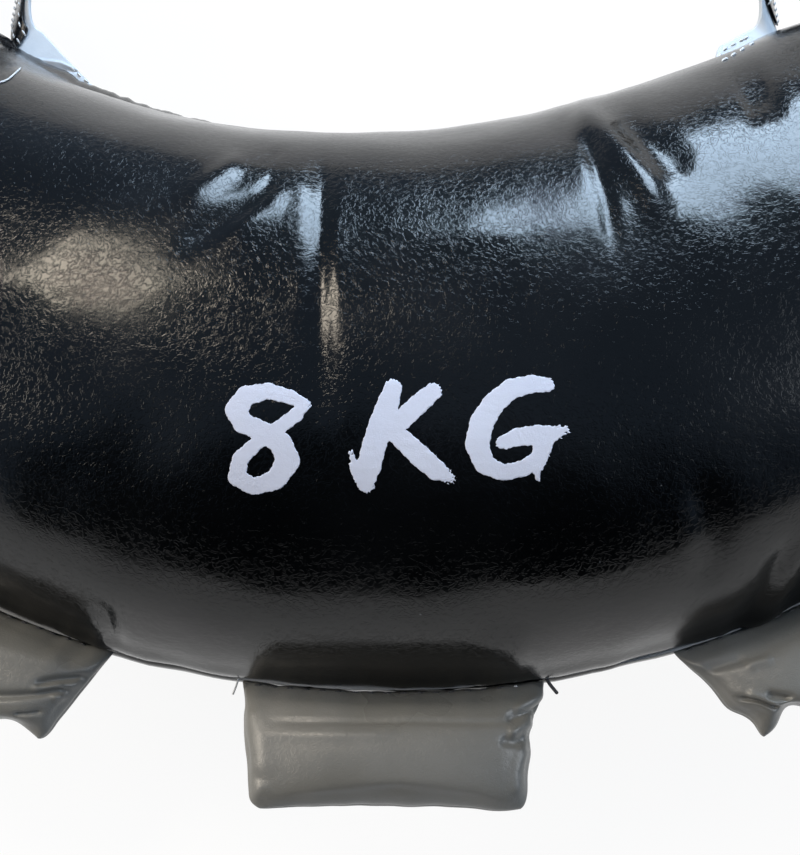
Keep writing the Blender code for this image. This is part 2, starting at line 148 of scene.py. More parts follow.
def bag_size(s):
    """Half width, height above the seam, depth below it and the seam's height over the floor."""
    share = 1 - min(abs(s) / HORN_END, 1) ** BAG_TAPER
    sizes = (BAG_HALF_WIDTH, BAG_HEIGHT, BAG_DEPTH)
    wide, high, deep = (NECK + (size - NECK) * share for size in sizes)
    return wide, high, deep + FLOOR_PRESS * share, deep + HORN_LIFT * (1 - share) ** 2


def seam_point(s, across=0.0, rise=0.0):
    """Point at the seam's height, at a reach across the bag and raised where given."""
    point, _, outward = centre_line(s)
    return point + outward * across + Vector((0, 0, bag_size(s)[3] + rise))


def edge_line(s, side):
    """Way along the outer seam, or along the inner one where side is -1, and its rise."""
    _, along, outward = centre_line(s)
    before, after = bag_size(s - 0.0005), bag_size(s + 0.0005)
    widening, rising = ((after[k] - before[k]) / 0.001 for k in (0, 3))
    radius = MID_RADIUS if abs(s) <= MID_ARC else HORN_RADIUS
    flat = along * (1 + side * bag_size(s)[0] / radius) + outward * (side * widening)
    return flat, Vector((0, 0, rising))


def skin_point(s, angle, proud):
    """Place on the leather; the angle runs from the outer seam over the front."""
    point, _, outward = centre_line(s)
    wide, high, deep, seam = bag_size(s)
    tall = high if sin(angle) >= 0 else deep
    across = (wide + proud) * signed_power(cos(angle), FULLNESS)
    rise = (tall + proud) * sin(angle)
    return point + outward * across + Vector((0, 0, max(seam + rise, -proud)))


def bag_place(point):
    """Length along the centre line, reach across it and angle of a point on the leather."""
    flat = point - BAG_SHIFT
    side, x, y = copysign(1, flat.x), abs(flat.x), flat.y
    turn = atan2(x, MID_RADIUS - y)
    reach, across = MID_RADIUS * turn, hypot(x, MID_RADIUS - y) - MID_RADIUS
    if turn > MID_TURN:
        turn = atan2(x - HORN_X, HORN_Y - y) % tau
        reach = MID_ARC + HORN_RADIUS * (turn - MID_TURN)
        across = hypot(x - HORN_X, HORN_Y - y) - HORN_RADIUS
    if reach > HORN_END:
        end, along, outward = centre_line(HORN_END)
        offset = Vector((x, y, 0)) + BAG_SHIFT - end
        reach, across = HORN_END + offset.dot(along), offset.dot(outward)
    wide, high, deep, seam = bag_size(reach)
    rise = point.z - seam
    angle = atan2(rise / (high if rise > 0 else deep), across / wide)
    return side * reach, across, angle


def activate(piece):
    """Selects one piece alone for the next tool."""
    bpy.ops.object.select_all(action="DESELECT")
    piece.select_set(True)
    bpy.context.view_layer.objects.active = piece


def keep_piece(bm, name):
    """New piece in the scene from a finished mesh, its faces turned outward."""
    bmesh.ops.recalc_face_normals(bm, faces=bm.faces)
    mesh = bpy.data.meshes.new(name)
    bm.to_mesh(mesh)
    bm.free()
    piece = bpy.data.objects.new(name, mesh)
    bpy.context.collection.objects.link(piece)
    return piece


def new_piece(name, rows, poles=(), closed=False, flat_ends=False):
    """Cover through rings of points, its ends joined, drawn to two poles or sewn flat across."""
    bm = bmesh.new()
    made = [[bm.verts.new(point) for point in row] for row in rows]
    count = len(rows[0])
    for near, far in zip(made, made[1:] + (made[:1] if closed else [])):
        for k in range(count):
            after = (k + 1) % count
            bm.faces.new((near[k], near[after], far[after], far[k]))
    for ring, pole in zip((made[0], made[-1]), poles):
        tip = bm.verts.new(pole)
        for k in range(count):
            bm.faces.new((ring[k], ring[(k + 1) % count], tip))
    for ring in (made[0], made[-1]) if flat_ends else ():
        for k in range(count // 2 - 1):
            bm.faces.new((ring[k], ring[k + 1], ring[-2 - k], ring[-1 - k]))
    return keep_piece(bm, name)


def group(piece, name, weight_at):
    """Vertex group whose weights come from each point's place."""
    made = piece.vertex_groups.new(name=name)
    for vertex in piece.data.vertices:
        weight = weight_at(vertex.co)
        if weight > 0:
            made.add([vertex.index], weight, "REPLACE")


def stuff(piece, pressure, draw, most, slack=0.0004, frames=20):
    """Fills a sewn cover: it swells between its held places, and its drawn seams gather."""
    before = [vertex.co.copy() for vertex in piece.data.vertices]
    outward_ways = [vertex.normal.copy() for vertex in piece.data.vertices]
    activate(piece)
    cloth = piece.modifiers.new("stuffing", "CLOTH").settings
    cloth.quality = 6
    cloth.mass = 0.25
    cloth.tension_stiffness = cloth.compression_stiffness = 18
    cloth.shear_stiffness = 8
    cloth.bending_stiffness = 0.4
    cloth.effector_weights.gravity = 0
    cloth.use_pressure = True
    cloth.uniform_pressure_force = pressure
    cloth.vertex_group_mass = "held"
    cloth.vertex_group_shrink = "drawn"
    cloth.shrink_min, cloth.shrink_max = 0.0, draw
    for step in range(1, frames + 1):
        bpy.context.scene.frame_set(step)
    bpy.ops.object.modifier_apply(modifier="stuffing")
    bpy.context.scene.frame_set(1)
    for vertex, rest, normal in zip(piece.data.vertices, before, outward_ways):
        moved = vertex.co - rest
        sunk = moved.dot(normal) + slack
        if sunk < 0:
            moved -= normal * sunk
        if moved.length > most:
            moved *= most / moved.length
        vertex.co = rest + moved


def refine(piece, levels):
    """Rounds a coarse cover into smooth leather."""
    activate(piece)
    finer = piece.modifiers.new("finer", "SUBSURF")
    finer.levels = finer.render_levels = levels
    bpy.ops.object.modifier_apply(modifier="finer")
    piece.data.shade_smooth()


def crease_depth(column, row, creases):
    """Sum of the folds at a place in the picture; each is a line with a height and a width."""
    total = 0
    for line, height, width in creases:
        lows = [min(p[k] for p in line) - 3 * width for k in (0, 1)]
        highs = [max(p[k] for p in line) + 3 * width for k in (0, 1)]
        if not (lows[0] < column < highs[0] and lows[1] < row < highs[1]):
            continue
        nearest, place = 1e9, 0
        for k, ((ax, ay), (bx, by)) in enumerate(zip(line, line[1:])):
            dx, dy = bx - ax, by - ay
            t = min(max(((column - ax) * dx + (row - ay) * dy) / (dx * dx + dy * dy), 0), 1)
            gap = hypot(column - ax - t * dx, row - ay - t * dy)
            if gap < nearest:
                nearest, place = gap, (k + t) / (len(line) - 1)
        ends = min(smooth(place * 4 + 0.25), smooth((1 - place) * 4 + 0.25))
        total += height * ends * exp(-(nearest / width) ** 2)
    return total


BAG_STATIONS, BAG_RING, BAG_START = 97, 52, 0.0008
BAG_PRESSURE, BAG_SWELL, SEAM_DRAW = 2.4, 0.003, 0.02
NECK_PLEATS, LEAN_REACH = 15, 0.24
MILLIMETRE, SIDES = 0.001, (("left", -1), ("right", 1))
# folds of the front as they lie: a line in the picture, a height in millimetres and a width
BAG_CREASES = (
    (((277, 178), (262, 199), (235, 216), (205, 232), (183, 241)), -1.7, 8),
    (((242, 156), (228, 171), (205, 188), (181, 207)), 1.0, 11),
    (((278, 186), (263, 203), (247, 222), (226, 240)), 1.2, 12),
    (((276, 146), (274, 174)), -0.5, 2.5),
    (((322, 140), (323, 205), (318, 290), (320, 360), (327, 415)), -1.3, 11),
    (((302, 258), (303, 315)), 0.5, 5),
    (((333, 195), (334, 275)), 0.5, 5),
    (((570, 120), (590, 129), (607, 140), (628, 162), (648, 188), (664, 220)), 1.9, 14),
    (((620, 124), (645, 142), (668, 160), (690, 170)), -1.5, 16),
    (((586, 138), (596, 165), (606, 200), (614, 250)), -1.3, 6.5),
    (((740, 104), (775, 92)), -1.6, 20),
    (((806, 540), (785, 585), (763, 614), (738, 636)), 1.5, 7),
    (((790, 545), (768, 590), (748, 614), (724, 632)), -1.5, 8),
    (((86, 606), (95, 628), (106, 650)), 0.9, 5),
    (((98, 604), (108, 626), (118, 646)), -0.8, 6),
    (((478, 652), (530, 655)), 1.0, 22),
    (((700, 480), (716, 540), (706, 590)), -0.9, 16),
)
INWARD_LEAN, LEFT_LEAN = Vector((0, 0.0095, 0)), Vector((0, -0.0052, 0))

spacing = [BAG_END * (2 * k / (BAG_STATIONS - 1) - 1) for k in range(BAG_STATIONS)]
turns = [t - 0.22 * sin(2 * t) for t in circle(BAG_RING)]
bag = new_piece(
    "bag_leather",
    [[skin_point(s, t, BAG_START) for t in turns] for s in spacing],
    [seam_point(s) for s in (-BAG_END, BAG_END)],
)


def neck_hold(point):
    """1 at the bound necks, 0 on the body."""
    return smooth((abs(bag_place(point)[0]) - HORN_END + 0.030) / 0.020)


def seam_gather(point):
    """1 along the seams, where the thread draws the leather in."""
    angle = bag_place(point)[2]
    return exp(-(sin(angle) / 0.10) ** 2) * (1 - neck_hold(point))


group(bag, "held", neck_hold)
group(bag, "drawn", seam_gather)
stuff(bag, pressure=BAG_PRESSURE, draw=SEAM_DRAW, most=BAG_SWELL)
refine(bag, 2)

normals = [vertex.normal.copy() for vertex in bag.data.vertices]
for vertex, normal in zip(bag.data.vertices, normals):
    co = vertex.co
    s, across, angle = bag_place(co)
    wide = bag_size(s)[0]
    around = abs(sin(angle)) * wide
    outer = across > 0
    neck = smooth((HORN_END - abs(s)) / 0.012)
    # the seam sinks between the two panels, which stand full and gathered beside it
    height = -1.5 * exp(-(around / 0.0013) ** 2)
    height += 0.7 * exp(-(((around - 0.006) / 0.005) ** 2))
    gather = ripple(s * 95, 3.1 if outer else 7.7, angle * 0.4)
    gather += 0.6 * ripple(s * 210, 1.3 if outer else 5.9, angle * 0.7)
    height += gather * (0.9 if outer else 1.3) * exp(-around / 0.012)
    # slack leather on the inner side of each horn, where the crescent bends most
    bend = smooth((abs(s) - 0.17) / 0.08) * smooth((HORN_END - abs(s)) / 0.03)
    if not outer:
        fold = ripple(s * 62, 9.2, around * 12)
        height += 3.0 * bend * (abs(fold) ** 0.7 - 0.35) * exp(-around / 0.030)
    # pleats drawn in by the binding at the neck
    pleat = cos(NECK_PLEATS * angle + 2.2 * ripple(co.x * 30, co.y * 30, 2.0))
    height += 0.9 * pleat * exp(-abs(HORN_END - 0.004 - abs(s)) / 0.016) * neck
    # the stuffing lies unevenly under the skin
    height += 1.3 * noise.noise(co * 17) * neck + 0.45 * noise.noise(co * 48) * neck
    if normal.z > -0.3:
        column, row = picture_place(co)
        if -40 < column < 840 and row < 700:
            height += crease_depth(column, row, BAG_CREASES)
    vertex.co = co + normal * (height * MILLIMETRE)
    # the front hangs back from the seam on the left horn and rolls out over it on the right
    if not outer and abs(s) < LEAN_REACH:
        lean = smooth((angle - 1.9) / 0.7) * smooth((pi - angle) / 0.16)
        lean *= smooth((LEAN_REACH - abs(s)) / 0.06)
        vertex.co += INWARD_LEAN * (lean * smooth((s + 0.20) / 0.36)) + LEFT_LEAN * lean
    vertex.co.z = max(vertex.co.z, 0.0)
bag.data.update()


def fill(made, given):
    """Fills inputs of a node, and links those that are given another node's output."""
    for socket, value in given.items():
        if isinstance(value, bpy.types.NodeSocket):
            made.id_data.links.new(value, made.inputs[socket])
        else:
            made.inputs[socket].default_value = value


def node(tree, kind, given, output=0, **settings):
    """Output of a new shader node with its settings made and its inputs filled."""
    made = tree.nodes.new("ShaderNode" + kind)
    for name, value in settings.items():
        setattr(made, name, value)
    fill(made, given)
    return made.outputs[output]


def math_node(tree, operation, a, b=0.0):
    return node(tree, "Math", {0: a, 1: b}, operation=operation)


def noise_node(tree, place, scale, detail, distortion=0.0):
    given = {"Vector": place, "Scale": scale, "Detail": detail, "Distortion": distortion}
    return node(tree, "TexNoise", given, "Fac")


def ridge_node(tree, place, scale, detail, distortion):
    """Thin wandering lines: 0 on a line and up to 0.5 away from it."""
    clouds = noise_node(tree, place, scale, detail, distortion)
    return math_node(tree, "ABSOLUTE", math_node(tree, "SUBTRACT", clouds, 0.5))


def ramp_node(tree, value, low, high, to_low=0.0, to_high=1.0):
    """Soft rise from one value to another."""
    given = dict(enumerate((value, low, high, to_low, to_high)))
    return node(tree, "MapRange", given, interpolation_type="SMOOTHSTEP")


def mix_node(tree, share, a, b):
    return node(tree, "Mix", {0: share, 6: a, 7: b}, 2, data_type="RGBA")


def bump_node(tree, height, distance, strength, **below):
    given = {"Height": height, "Distance": distance, "Strength": strength, **below}
    return node(tree, "Bump", given, "Normal")


def plain_material(name):
    """New finish with its node tree, its shader and the place on the piece."""
    made = bpy.data.materials.new(name)
    made.use_nodes = True
    tree = made.node_tree
    return made, tree, tree.nodes["Principled BSDF"], node(tree, "TexCoord", {}, "Object")


def leather(name, dark, light, rough, cell, relief, wrinkle, gloss, dust=None):
    """Coated leather: a fine crackle of the given size over soft pebbles and wrinkles."""
    made, tree, shader, place = plain_material(name)
    crackle = ramp_node(tree, ridge_node(tree, place, 1 / cell, 2.0, 1.0), 0.0, 0.08)
    drift = {0: noise_node(tree, place, 0.35 / cell, 2.0), 1: (cell * 2.2,) * 3, 2: place}
    drift = node(tree, "VectorMath", drift, operation="MULTIPLY_ADD")
    pebbles = node(tree, "TexVoronoi", {"Vector": drift, "Scale": 0.55 / cell}, "Distance")
    folds = ridge_node(tree, place, 95.0, 5.0, 0.9)
    patches = noise_node(tree, place, 19.0, 4.0)
    shade = mix_node(tree, ramp_node(tree, patches, 0.35, 0.70), dark, light)
    if dust:
        specks = node(tree, "TexVoronoi", {"Vector": place, "Scale": 62.0}, "Distance")
        shade = mix_node(tree, ramp_node(tree, specks, 0.014, 0.024, 0.5, 0.0), shade, dust)
    normal = bump_node(tree, folds, 0.0009 * wrinkle, 0.6)
    normal = bump_node(tree, pebbles, 0.000045 * relief, 1.0, Normal=normal)
    fill(shader, {
        "Base Color": shade,
        "Roughness": ramp_node(tree, patches, 0.3, 0.7, rough - 0.05, rough + 0.06),
        "Specular IOR Level": gloss,
        "Normal": bump_node(tree, crackle, 0.000038 * relief, 1.0, Normal=normal),
    })
    return made


black_leather = leather(
    "black_leather", (0.0012, 0.0015, 0.0019, 1), (0.0026, 0.0031, 0.0038, 1),
    rough=0.14, cell=0.0018, relief=0.50, wrinkle=0.18, gloss=0.34, dust=(0.22, 0.23, 0.24, 1),
)
bag.data.materials.append(black_leather)
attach(bag, "bag")
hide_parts("front_panel", "rear_panel")


# Weight mark. The bag's weight is brushed on the front in a pale print, with ragged ends where
# the brush ran dry. The ink lies in a thin skin on the leather and takes its grain.
# each stroke is a run of places in the picture with the brush's half width there
MARK_STROKES = (
    ((304, 404, 6), (290, 397, 7), (268, 391, 8), (246, 396, 10), (236, 410, 11), (243, 423, 10),
     (262, 431, 10), (281, 443, 11), (288, 461, 12), (276, 480, 10), (253, 487, 8), (237, 477, 9),
     (240, 459, 8), (258, 442, 7), (280, 427, 7), (296, 415, 7), (307, 404, 5)),
    ((393, 388, 9), (388, 404, 11), (381, 424, 12), (374, 446, 12), (369, 466, 12), (366, 484, 9)),
    ((366, 484, 8), (356, 470, 6), (351, 453, 3)),
    ((433, 392, 9), (421, 402, 10), (407, 415, 10), (390, 433, 9)),
    ((388, 428, 8), (404, 441, 10), (421, 457, 11), (436, 470, 10), (450, 478, 6)),
    ((548, 385, 7), (532, 384, 9), (511, 389, 10), (494, 403, 11), (482, 422, 12), (477, 444, 12),
     (484, 464, 10), (503, 473, 8), (525, 468, 8), (541, 455, 8)),
    ((502, 443, 7), (518, 437, 9), (538, 435, 10), (552, 434, 8), (565, 430, 5)),
    ((546, 436, 10), (541, 452, 9), (538, 466, 6), (537, 479, 3)),
)
MARK_STEP, MARK_PROUD, MARK_THICK = 1.5, 0.00016, 0.0003
MARK_COLUMNS, MARK_LINES = (205, 585), (368, 505)
DRY_END, DRY_START = 16, 9


def mark_cover():
    """Cover of the ink over a fine grid of the picture: above 0 where the brush left ink."""
    columns, lines = (np.arange(*span, MARK_STEP) for span in (MARK_COLUMNS, MARK_LINES))
    x, y = np.meshgrid(columns, lines)
    cover = np.full(x.shape, -50.0)
    for index, stroke in enumerate(MARK_STROKES):
        length = sum(hypot(b[0] - a[0], b[1] - a[1]) for a, b in zip(stroke, stroke[1:]))
        run = 0
        for (ax, ay, ar), (bx, by, br) in zip(stroke, stroke[1:]):
            dx, dy = bx - ax, by - ay
            size = hypot(dx, dy)
            t = np.clip(((x - ax) * dx + (y - ay) * dy) / size**2, 0, 1)
            off_x, off_y = x - ax - t * dx, y - ay - t * dy
            beside = (off_x * dy - off_y * dx) / size
            along = run + t * size
            bristle = np.sin(beside * 1.9 + index) + 0.7 * np.sin(beside * 3.7 + 2 * index)
            dry = np.clip((along - length + DRY_END) / DRY_END, 0, 1)
            dry = dry + 0.35 * np.clip((DRY_START - along) / DRY_START, 0, 1)
            ragged = 0.7 * np.sin(along * 0.55 + index) + 0.5 * np.sin(along * 1.3 + 3 * index)
            reach = ar + (br - ar) * t + 0.5 * ragged - dry * 2.2 * (bristle + 0.6)
            cover = np.maximum(cover, reach - np.hypot(off_x, off_y))
            run += size
    return columns, lines, cover


def picture_ray(column, row):
    """Way from the eye through a place in the picture."""
    side = Vector(((column - PICTURE_WIDTH / 2) / PICTURE_FOCUS, 0, 0))
    up = view_up * ((PICTURE_HEIGHT / 2 - row) / PICTURE_FOCUS)
    return (side + up - toward_eye).normalized()


bpy.context.view_layer.update()
columns, lines, cover = mark_cover()
bm = bmesh.new()
inked = {}


def ink_point(key, column, row):
    """Corner of the ink's skin on the leather, made once for each place."""
    if key not in inked:
        _, place, normal, _ = bag.ray_cast(camera.location, picture_ray(column, row))
        inked[key] = bm.verts.new(place + normal * MARK_PROUD)
    return inked[key]


for i in range(cover.shape[0] - 1):
    for j in range(cover.shape[1] - 1):
        corners = ((i, j), (i, j + 1), (i + 1, j + 1), (i + 1, j))
        if all(cover[c] <= 0 for c in corners):
            continue
        outline = []
        for here, after in zip(corners, corners[1:] + corners[:1]):
            if cover[here] > 0:
                outline.append(ink_point(here, columns[here[1]], lines[here[0]]))
            if (cover[here] > 0) != (cover[after] > 0):
                t = cover[here] / (cover[here] - cover[after])
                column = columns[here[1]] + (columns[after[1]] - columns[here[1]]) * t
                row = lines[here[0]] + (lines[after[0]] - lines[here[0]]) * t
                outline.append(ink_point(tuple(sorted((here, after))), column, row))
        if len(outline) > 2:
            bm.faces.new(outline)
bmesh.ops.dissolve_degenerate(bm, dist=0.00002, edges=bm.edges)
mark = keep_piece(bm, "weight_mark")
if sum(face.normal.z for face in mark.data.polygons) < 0:
    mark.data.flip_normals()
activate(mark)
skin = mark.modifiers.new("skin", "SOLIDIFY")
skin.thickness, skin.offset = MARK_THICK, -1
bpy.ops.object.modifier_apply(modifier="skin")
mark.data.shade_smooth()
mark_ink = leather(
    "mark_ink", (0.50, 0.53, 0.64, 1), (0.56, 0.59, 0.70, 1),
    rough=0.52, cell=0.0010, relief=0.5, wrinkle=0.5, gloss=0.35,
)
mark.data.materials.append(mark_ink)
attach(mark, "bag")


# Fins. Each is a pillow of grey leather round a block of foam. Its open end is caught between
# the panels when the outer seam is sewn, and it is squeezed along its sides as a hand grip.
FIN_SPACING = 0.098
FIN_ROOT, FIN_TIP, FIN_LENGTH, FIN_THICK = 0.047, 0.0415, 0.035, 0.0135
# along a fin from its root to its tip: shares of its length, thickness and width
FIN_LENGTHS = (0.0, 0.05, 0.13, 0.24, 0.38, 0.53, 0.67, 0.80, 0.90, 0.965, 1.0)
FIN_THICKS = (0.13, 0.30, 0.58, 0.82, 0.96, 1.0, 0.96, 0.84, 0.66, 0.44, 0.20)
FIN_WIDTHS = (1.0, 1.0, 1.0, 1.0, 1.0, 1.0, 1.0, 1.0, 0.995, 0.98, 0.945)
FIN_RING, FIN_EDGE = 36, 0.62
WELT_REACH, SEAM_SPAN = 0.0025, 0.060
FIN_SLACK, FIN_GAP, FIN_FLAT = 0.985, 0.0004, 0.90
FIN_PLACES = (("left", -FIN_SPACING), ("centre", 0.0), ("right", FIN_SPACING))


def fin_frame(place):
    """Middle of a fin's root, the line along it and the way out from the bag."""
    flat, rise = edge_line(place, 1)
    line = (flat + rise).normalized()
    away = Vector((line.y, -line.x, 0)).normalized()
    return seam_point(place, bag_size(place)[0]) + away * WELT_REACH, line, away


def seam_table(place, hinge, line, away):
    """How far the bag's seam lies out and up from the straight line along a fin's root."""
    table = []
    for k in range(65):
        s = place + SEAM_SPAN * (k / 32 - 1)
        offset = seam_point(s, bag_size(s)[0] + WELT_REACH) - hinge
        table.append((offset.dot(line), offset.dot(away), offset.z))
    return [np.array(column) for column in zip(*table)]


rows = []
for forward, thick, width in zip(FIN_LENGTHS, FIN_THICKS, FIN_WIDTHS):
    half = (FIN_ROOT + (FIN_TIP - FIN_ROOT) * forward) * width * FIN_SLACK
    out, high = FIN_LENGTH * 0.975 * forward + FIN_GAP, FIN_THICK * FIN_FLAT * thick
    rows.append([
        (half * signed_power(cos(angle), FIN_EDGE), out, high * sin(angle))
        for angle in circle(FIN_RING, 0.5)
    ])
fin_shape = new_piece("fin_shape", rows, flat_ends=True)
group(fin_shape, "held", lambda co: 1 - smooth((co.y - 0.0006) / 0.004))
group(fin_shape, "drawn", lambda co: exp(-(co.z / 0.003) ** 2) * smooth(co.y / 0.01))
refine(fin_shape, 1)
stuff(fin_shape, pressure=5.0, draw=0.02, most=0.0035, frames=16)
refine(fin_shape, 2)

# folds of each fin as they lie: a line with a height in millimetres and a width
FIN_CREASES = {
    "left": (
        (((34, 687), (60, 682), (88, 678)), -1.9, 4.5),
        (((30, 693), (64, 689)), 0.9, 5),
        (((-40, 696), (0, 697), (40, 698), (72, 696)), -2.0, 4.5),
        (((10, 721), (26, 722), (40, 722)), -1.1, 3.5),
        (((50, 705), (62, 700)), 0.9, 6),
        (((-30, 640), (20, 652), (70, 664)), 0.8, 12),
    ),
    "centre": (
        (((272, 721), (380, 723), (520, 722)), -0.55, 3.5),
        (((262, 734), (330, 735), (400, 737)), 0.45, 7),
        (((549, 690), (534, 700), (515, 712)), 1.3, 6),
        (((547, 706), (530, 711), (506, 719)), -1.5, 5),
        (((540, 722), (526, 728), (508, 735)), 1.1, 6),
        (((534, 738), (518, 742), (500, 740)), -1.3, 5),
        (((530, 745), (522, 770), (518, 795)), 0.7, 8),
        (((255, 705), (266, 735), (268, 780)), 0.7, 10),
        (((272, 782), (262, 795), (252, 804)), 0.6, 7),
    ),
    "right": (
        (((730, 704), (753, 710), (768, 718), (784, 728)), -1.9, 4),
        (((742, 699), (764, 706), (780, 716)), 1.0, 7),
        (((795, 706), (778, 702), (765, 700)), -2.1, 6),
        (((700, 672), (722, 665), (745, 657)), -1.0, 6),
        (((745, 667), (760, 662), (772, 659)), 0.9, 5),
    ),
}
# where each fin's edges are drawn in or along: a place, two distances in the picture and a spread
FIN_PULLS = {
    "left": (((-6, 757), 28, 0, 21), ((60, 725), 9, -4, 26), ((36, 750), 9, 0, 17)),
    "centre": (((262, 806), -2, -4, 18), ((250, 745), 0, -6, 28), ((250, 785), 0, -5, 18),
               ((400, 812), 6, 0, 55), ((505, 810), -3, 0, 25), ((540, 728), 0, -8, 14),
               ((534, 770), 0, -5, 18)),
    "right": (((740, 742), 9, 17, 24), ((805, 740), 26, 0, 19), ((706, 688), 0, 9, 19),
              ((772, 748), 7, 4, 30)),
}
FIN_TUCK, FIN_DROP, FIN_BEND, SEAM_FADE = 0.0024, 0.0016, 0.009, 0.022

grey_leather = leather(
    "grey_leather", (0.156, 0.153, 0.139, 1), (0.186, 0.184, 0.172, 1),
    rough=0.31, cell=0.0016, relief=0.6, wrinkle=0.25, gloss=0.5,
)
fins = {}
for index, (side, place) in enumerate(FIN_PLACES):
    hinge, line, away = fin_frame(place)
    fin = fin_shape.copy()
    fin.data = fin_shape.data.copy()
    fin.name = f"fin_pillow_{side}"
    bpy.context.collection.objects.link(fin)
    turn = Matrix((line, away, away.cross(line))).transposed().to_4x4()
    locals_ = [vertex.co.copy() for vertex in fin.data.vertices]
    fin.data.transform(Matrix.Translation(hinge) @ turn)
    fin.data.flip_normals()
    reaches, outs, ups = seam_table(place, hinge, line, away)
    for vertex, local in zip(fin.data.vertices, locals_):
        near = 1 - smooth(local.y / SEAM_FADE)
        vertex.co += away * (float(np.interp(local.x, reaches, outs)) * near)
        vertex.co -= away * (FIN_TUCK * (1 - smooth(local.y / 0.008)))
        vertex.co.z -= FIN_DROP * (1 - smooth(local.y / 0.007))
        vertex.co.z += float(np.interp(local.x, reaches, ups)) * near
    fin.data.update()
    normals = [vertex.normal.copy() for vertex in fin.data.vertices]
    for vertex, normal, local in zip(fin.data.vertices, normals, locals_):
        co = vertex.co
        free = smooth(local.y / 0.008)
        # the turned seam along both sides and the tip
        height = -0.5 * exp(-(local.z / 0.0009) ** 2) * free
        gather = ripple(local.x * 120, local.y * 120, index * 5.0)
        height += 0.55 * gather * exp(-abs(local.z) / 0.005) * free
        height += (1.1 * noise.noise(co * 26) + 0.35 * noise.noise(co * 70)) * free
        # gathers where the pillow is caught in the seam of the bag
        root = exp(-local.y / 0.006)
        height += 0.6 * ripple(local.x * 170, index * 3.0, copysign(1.5, local.z)) * root
        column, row = picture_place(co)
        if normal.z > -0.2:
            height += crease_depth(column, row, FIN_CREASES[side]) * free
        vertex.co = co + normal * (height * MILLIMETRE)
        for (at_column, at_row), inwards, sideways, spread in FIN_PULLS[side]:
            near = exp(-((column - at_column) ** 2 + (row - at_row) ** 2) / (2 * spread**2))
            vertex.co += (line * sideways - away * inwards) * (near * PICTURE_PITCH * free)
    fin.data.update()
    fin.data.materials.append(grey_leather)
    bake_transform(fin)
    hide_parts(f"fin_cover_{side}", f"fin_core_{side}")
    fins[side] = fin
bpy.data.objects.remove(fin_shape)


# Welts. The cut edge of a fin's cover stands out of the seam as a narrow grey lip that waves
# with the sewing, and thins out along the seam past both sides of the fin. Its grey is made
# lighter than the fin's leather as painted light, against the shade the bag casts on it.
WELT_THICK, WELT_FADE, WELT_STATIONS, WELT_TUCK = 0.0012, 0.0155, 140, 0.0024
NOTCH_STEP = 0.0062

# the cut edge's grey is partly its own colour and partly painted light: lighter than the fin's
# leather to stand in for light that the bag's shade keeps off it
raw_edge = leather(
    "raw_edge", (0.20, 0.205, 0.21, 1), (0.32, 0.325, 0.33, 1),
    rough=0.62, cell=0.0007, relief=0.8, wrinkle=0.1, gloss=0.3,
)

for index, (side, place) in enumerate(FIN_PLACES):
    reach = FIN_ROOT / (1 + bag_size(place)[0] / MID_RADIUS)
    rows = []
    for k in range(WELT_STATIONS + 1):
        s = place + (reach + WELT_FADE) * (2 * k / WELT_STATIONS - 1)
        outward, wide = centre_line(s)[2], bag_size(s)[0]
        past = max(abs(s - place) - reach, 0) / WELT_FADE
        wave = 0.9 * ripple(s * 42, index * 4.0, 0.5)
        wave += 0.35 * ripple(s * 160, index * 4.0, 2.5)
        notch = 0.45 * max(cos(tau * s / NOTCH_STEP), 0) ** 14
        # the middle welt rolls over for a short way
        rolled = exp(-(((s - place) * 1000 - 26) / 7.5) ** 2) if side == "centre" else 0
        out = (0.0010 + 0.0004 * wave - notch * 0.0005 - 0.0005 * rolled) * (1 - past) + 0.0002
        lift = 0.0009 * wave * (1 - 0.5 * past) + 0.0022 * (1 - past) + 0.0030 * rolled + 0.0003
        thick = WELT_THICK * (1 - 0.6 * past) * (1 + 0.7 * rolled) / 2
        base = seam_point(s, wide - WELT_TUCK, lift * 0.5)
        tip = seam_point(s, wide + out, lift)
        soft = outward * thick * 0.7
        up = Vector((0, 0, thick))
        nose = [tip + up - soft, tip + up * 0.45, tip - up * 0.45, tip - up - soft]
        rows.append([base - up, base + up, *nose])
    poles = [sum(row, Vector()) / len(row) for row in (rows[0], rows[-1])]
    welt = new_piece(f"fin_welt_{side}", rows, poles)
    refine(welt, 1)
    welt.data.materials.append(raw_edge)
    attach(welt, "bag")
    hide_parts(f"fin_flange_{side}")


# Sewing. The fins, welts and panels are closed with one row of waxed thread in the outer seam;
# it shows as short bowed stitches along each fin's root, and its ends are left hanging. The
# root stitches in the shade under the welts are drawn in dark thread as painted shade.
STITCH_STEP, STITCH_LENGTH, STITCH_THICK, STITCH_BOW = 0.0036, 0.0026, 0.0007, 0.9
# the reach along the middle fin up to which its root stitches are drawn dark, as painted shade
ROOT_OUT, ROOT_ABOVE, PAINTED_SHADE_UNTIL = 0.0017, 0.2, 0.026

bpy.ops.mesh.primitive_uv_sphere_add(segments=8, ring_count=6, rotation=(0, radians(90), 0))
stitch = bpy.context.object
stitch.name = "stitch_form"
bpy.ops.object.transform_apply(location=False, rotation=True, scale=False)
for vertex in stitch.data.vertices:
    if abs(vertex.co.x) > 0.7:
        vertex.co.z -= STITCH_BOW


def thread_material(name, dark, light):
    """Twisted sewing thread, waxed and matt."""
    made, tree, shader, place = plain_material(name)
    given = {"Vector": place, "Scale": 900.0, "Distortion": 1.5}
    twist = node(tree, "TexWave", given, "Fac", bands_direction="DIAGONAL")
    fill(shader, {
        "Base Color": mix_node(tree, twist, dark, light),
        "Roughness": 0.62,
        "Normal": bump_node(tree, twist, 0.00012, 0.8),
    })
    return made


pale_thread = thread_material("pale_thread", (0.50, 0.51, 0.52, 1), (0.74, 0.75, 0.76, 1))
# dark thread, also used on the fin-root stitches as painted shade under the welts
dark_thread = thread_material("dark_thread", (0.020, 0.020, 0.022, 1), (0.055, 0.055, 0.060, 1))


